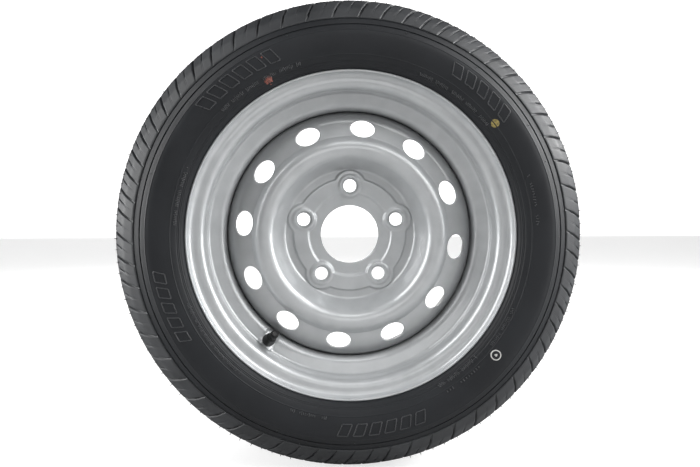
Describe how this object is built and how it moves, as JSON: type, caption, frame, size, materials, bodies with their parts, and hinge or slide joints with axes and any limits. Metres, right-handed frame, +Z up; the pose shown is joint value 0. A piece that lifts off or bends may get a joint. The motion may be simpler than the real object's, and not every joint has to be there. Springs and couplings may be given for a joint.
{
  "type": "trailer wheel and tyre assembly",
  "caption": "Welded steel disc wheel with a tubeless road tyre, vented disc, bossed bolt seats and a snap-in valve with its core and screw cap.",
  "frame": {"origin": "centre of the wheel, on the spin axis in the tyre's middle plane", "axes": "+Y along the spin axis towards the hub side, the outer face looks along -Y, +Z up"},
  "size_m": [0.525, 0.201, 0.5248],
  "materials": {
    "tyre_rubber": "moulded matt rubber",
    "silver_paint": "silver baked paint, semi-gloss",
    "valve_rubber": "smooth black rubber",
    "brass": "turned brass",
    "white_plastic": "plain",
    "spring_steel": "drawn wire",
    "black_plastic": "moulded plastic"
  },
  "bodies": {
    "wheel": {"tyre": "tyre_rubber", "rim": "silver_paint", "disc": "silver_paint", "weld_1": "silver_paint", "weld_2": "silver_paint", "weld_3": "silver_paint", "weld_4": "silver_paint", "valve_body": "valve_rubber", "valve_stem": "brass", "valve_core_plug": "brass", "valve_core_barrel": "brass", "valve_core_gasket": "white_plastic", "valve_core_spring": "spring_steel"},
    "core": {"valve_core_pin": "brass", "valve_core_cup": "brass", "valve_core_seal": "valve_rubber"},
    "cap_washer": {"valve_cap_seal": "valve_rubber"},
    "cap": {"valve_cap": "black_plastic"}
  },
  "joints": [
    {"name": "core_press", "type": "slide", "parent": "wheel", "child": "core", "axis": [-0.3679, 0.8018, -0.4709], "range_m": [0, 0.0015], "stiffness_N_per_m": 1500, "springref_m": -0.001, "deforming": ["valve_core_spring"]},
    {"name": "cap_lift", "type": "slide", "parent": "wheel", "child": "cap_washer", "axis": [0.3679, -0.8018, 0.4709], "range_m": [0, 0.00555]},
    {"name": "cap_turn", "type": "hinge", "parent": "cap_washer", "child": "cap", "pos_m": [-0.0946, -0.0478, -0.12108], "axis": [0.3679, -0.8018, 0.4709], "range_deg": [0, 2520]}
  ],
  "couplings": [
    {"joint": "cap_turn", "follows": "cap_lift", "rad_per_m": 7913.3}
  ]
}
